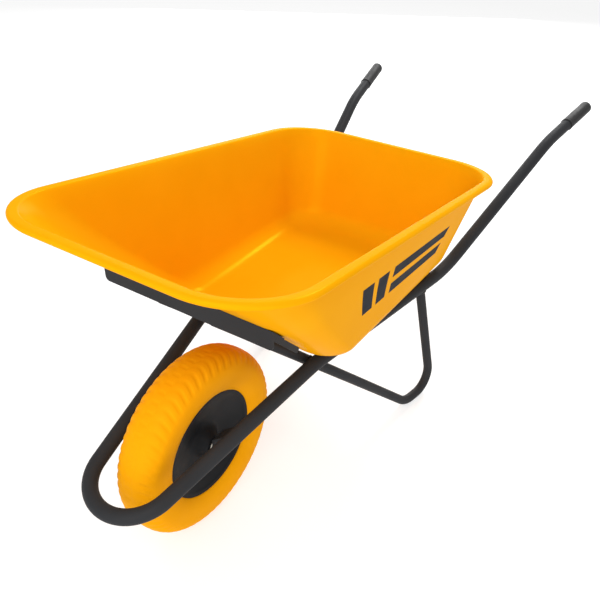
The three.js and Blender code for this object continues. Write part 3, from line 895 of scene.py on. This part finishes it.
def threaded(radius, pitch, low, high, place, way=1):
    """A round bar with a real thread. Its chamfered tip is at high, or at low where way is -1."""
    steps = round((high - low) / pitch * THREAD_STEPS)
    rings = []
    for k in range(steps + 1):
        along = low + (high - low) * k / steps
        tip = smoothstep(0, pitch * THREAD_TIP, (high - along) if way > 0 else (along - low))
        ring = []
        for i, angle in enumerate(round_angles(THREAD_POINTS)):
            phase = (along / pitch - i / THREAD_POINTS) % 1
            depth = THREAD_DEPTH * pitch * abs(2 * phase - 1)
            r = radius - depth - (1 - tip) * TIP_CHAMFER
            ring.append(place(along, r * math.cos(angle), r * math.sin(angle)))
        rings.append(ring)
    return skin(rings)


def washer(bore, outer, low, high, place):
    section = [
        (bore, low),
        (outer - WASHER_EDGE, low),
        (outer, low + WASHER_EDGE),
        (outer, high - WASHER_EDGE),
        (outer - WASHER_EDGE, high),
        (bore, high),
    ]
    return turned(section, place, WASHER_SIDES)


def rod(radius, low, high, place):
    return turned([(ON_AXIS, low), (radius, low), (radius, high), (ON_AXIS, high)], place, ROD_SIDES)


AXLE_PITCH = 1.75
AXLE_FLATS = 19
HEAD_HEIGHT = 7.5
NUT_HEIGHT = 10
AXLE_PAST_NUT = 3
THREAD_START = 12  # back from the nut's face
AXLE_WASHER_R = 12
AXLE_WASHER_SHEET = 2.5
SPACER_R = 10
SPACER = (HUB_HALF_LENGTH + 2 * GAP + BUSH_FLANGE, BRACKET_Y - GAP)
BRACKET_FACE = BRACKET_Y + BRACKET_SHEET + GAP
AXLE_WASHER = (BRACKET_FACE, BRACKET_FACE + AXLE_WASHER_SHEET)
AXLE_OUTER = AXLE_WASHER[1] + GAP

head = hexagon(AXLE_FLATS, 0, -AXLE_OUTER - HEAD_HEIGHT, -AXLE_OUTER, on_axle, chamfer=-1)
shank = rod(AXLE_R, -AXLE_OUTER - 1, AXLE_OUTER - THREAD_START, on_axle)
thread_end = AXLE_OUTER + NUT_HEIGHT + AXLE_PAST_NUT
thread = threaded(AXLE_R, AXLE_PITCH, AXLE_OUTER - THREAD_START - 1, thread_end, on_axle)
build("axle_bolt_threaded", [head, shank, thread], ZINC, "frame", ["axle_bolt"], sharp=30)
nut = hexagon(AXLE_FLATS, AXLE_R + GAP, AXLE_OUTER, AXLE_OUTER + NUT_HEIGHT, on_axle)
build("axle_nut_hex", [nut], ZINC, "frame", ["axle_nut"], sharp=30)


def on_axle_side(side):
    return lambda along, across, up: on_axle(along * side, across, up)


def bush_section():
    face = HUB_HALF_LENGTH + GAP
    return [
        (AXLE_R + GAP, face - BUSH_DEPTH),
        (BUSH_R, face - BUSH_DEPTH),
        (BUSH_R, face),
        (BUSH_R + BUSH_FLANGE_REACH, face),
        (BUSH_R + BUSH_FLANGE_REACH, face + BUSH_FLANGE - BUSH_EDGE),
        (BUSH_R + BUSH_FLANGE_REACH - BUSH_EDGE, face + BUSH_FLANGE),
        (AXLE_R + GAP, face + BUSH_FLANGE),
    ]


for name, side in SIDES:
    place = on_axle_side(side)
    ring = washer(AXLE_R + GAP, AXLE_WASHER_R, *AXLE_WASHER, place)
    build(name + "_axle_washer_ring", [ring], ZINC, "frame", [name + "_axle_washer"], sharp=30)
    ring = washer(AXLE_R + GAP, SPACER_R, *SPACER, place)
    build(name + "_spacer_ring", [ring], ZINC, "frame", [name + "_spacer"], sharp=30)
    bush = turned(bush_section(), place, WASHER_SIDES)
    build(name + "_bush_flanged", [bush], NYLON, "wheel", [name + "_bush"], sharp=30)

FLOOR_SLOPE = math.atan((FLOOR["rear_z"] - FLOOR["front_z"]) / (FLOOR["rear"] - FLOOR["front"]))
STUD_INSET = 27
STUD_R = 4
STUD_PITCH = 1.25
STUD_LENGTH = 17
STUD_HOLE_R = STUD_R + GAP
STUD_FLANGE = 1.2
STUD_FLANGE_R = 7
STUD_WASHER_R = 8
STUD_WASHER_SHEET = 1.6
STUD_NUT_FLATS = 13
STUD_NUT_HEIGHT = 6.5
TAB_SHEET = 3
UNDER_TAB = -(2 * GAP + STUD_FLANGE) - TAB_SHEET - GAP


def on_stud(x, side):
    """A placing of (along, across, up) from the underside of the tray's floor, along being up."""
    spot = Vector((x, under_tray(x, side).y - side * STUD_INSET, 0))
    spot.z = FLOOR["front_z"] - SHEET + (x - FLOOR["front"]) * math.tan(FLOOR_SLOPE)
    tilt = Matrix.Rotation(-FLOOR_SLOPE, 3, "Y")
    return lambda along, across, up: spot + tilt @ Vector((across, up, along))


for name, side in SIDES:
    for end, x in TAB_PLACES.items():
        place = on_stud(x, side)
        label = f"{name}_{end}_tray_"
        flange = rod(STUD_FLANGE_R, -GAP - STUD_FLANGE, -GAP, place)
        thread = threaded(STUD_R, STUD_PITCH, -GAP - STUD_LENGTH, -GAP - STUD_FLANGE / 2, place, way=-1)
        build(label + "stud_threaded", [flange, thread], PAINT, "frame", [label + "stud"], sharp=30)
        ring = washer(STUD_HOLE_R, STUD_WASHER_R, UNDER_TAB - STUD_WASHER_SHEET, UNDER_TAB, place)
        build(label + "washer_ring", [ring], ZINC, "frame", [label + "washer"], sharp=30)
        top = UNDER_TAB - STUD_WASHER_SHEET - GAP
        nut = hexagon(STUD_NUT_FLATS, STUD_HOLE_R, top - STUD_NUT_HEIGHT, top, place, chamfer=-1)
        build(label + "nut_hex", [nut], ZINC, "frame", [label + "nut"], sharp=30)

# ---- CAD nodes that stay, some with softened edges ----

BEVEL_SEGMENTS = 3
BEVEL_FROM = 40  # degrees


def keep(node, material, bevel=0.0):
    piece = frame["nodes"][node]
    piece.data.materials.clear()
    piece.data.materials.append(material)
    if bevel:
        soften = piece.modifiers.new("edges", "BEVEL")
        soften.width = bevel * MM
        soften.segments = BEVEL_SEGMENTS
        soften.limit_method = "ANGLE"
        soften.angle_limit = math.radians(BEVEL_FROM)
        soften.harden_normals = False


keep("front_support", POWDER, 0.9)
keep("rim_band", BLACK)
keep("hub", BLACK)
for name, _ in SIDES:
    keep(name + "_axle_bracket", POWDER, 0.8)
    for end in TAB_PLACES:
        keep(f"{name}_{end}_tray_tab", POWDER, 0.5)

# ---- Floor, light and camera, in metres but for the camera's place ----

FLOOR_REACH = 30
CAMERA_LENS = 41.17
CAMERA_SENSOR = 36
CAMERA_PLACE = Vector((-656.8, -638.1, 1085.1))
CAMERA_RIGHT = Vector((0.5518, -0.8338, 0.0168))
CAMERA_UP = Vector((0.4572, 0.3194, 0.83))


def add_floor():
    corners = [(a * FLOOR_REACH, b * FLOOR_REACH, 0) for a, b in ((-1, -1), (1, -1), (1, 1), (-1, 1))]
    mesh = bpy.data.meshes.new("floor")
    mesh.from_pydata(corners, [], [(0, 1, 2, 3)])
    plain = bpy.data.materials.new("pale_floor")
    plain.use_nodes = True
    shader = plain.node_tree.nodes["Principled BSDF"]
    shader.inputs["Base Color"].default_value = (0.5, 0.5, 0.5, 1)
    shader.inputs["Roughness"].default_value = 0.9
    shader.inputs["Specular IOR Level"].default_value = 0.1
    shader.inputs["Emission Color"].default_value = (1, 1, 1, 1)
    shader.inputs["Emission Strength"].default_value = 0.6
    mesh.materials.append(plain)
    floor = bpy.data.objects.new("floor", mesh)
    bpy.context.scene.collection.objects.link(floor)


def add_light(name, place, target, size, power):
    light = bpy.data.lights.new(name, "AREA")
    light.shape = "SQUARE"
    light.size = size
    light.energy = power
    lamp = bpy.data.objects.new(name, light)
    lamp.location = place
    lamp.rotation_euler = (Vector(target) - Vector(place)).to_track_quat("-Z", "Y").to_euler()
    bpy.context.scene.collection.objects.link(lamp)


def add_world(strength):
    world = bpy.data.worlds.new("studio")
    world.use_nodes = True
    background = world.node_tree.nodes["Background"]
    background.inputs["Color"].default_value = (1, 1, 1, 1)
    background.inputs["Strength"].default_value = strength
    bpy.context.scene.world = world


def add_camera():
    camera = bpy.data.cameras.new("camera")
    camera.sensor_width = CAMERA_SENSOR
    camera.lens = CAMERA_LENS
    back = CAMERA_RIGHT.cross(CAMERA_UP).normalized()
    up = back.cross(CAMERA_RIGHT).normalized()
    right = up.cross(back)
    holder = bpy.data.objects.new("camera", camera)
    turn = Matrix((right, up, back)).transposed().to_4x4()
    holder.matrix_world = Matrix.Translation(to_frame(CAMERA_PLACE)) @ turn
    bpy.context.scene.collection.objects.link(holder)
    bpy.context.scene.camera = holder


add_floor()
add_world(0.6)
add_light("key", (-2.3, -1.0, 3.0), (0.1, 0, 0.4), 2.2, 44)
add_light("front", (-2.8, -0.6, 1.2), (-0.3, 0, 0.3), 1.6, 22)
add_light("back", (2.4, 0.2, 2.7), (-0.1, 0, 0.4), 0.8, 56)
add_light("backdrop", (3.3, 2.0, 1.4), (-0.1, 0, 0.5), 2.9, 84)
add_camera()
view = bpy.context.scene.view_settings
view.view_transform = "Standard"
view.look = "None"
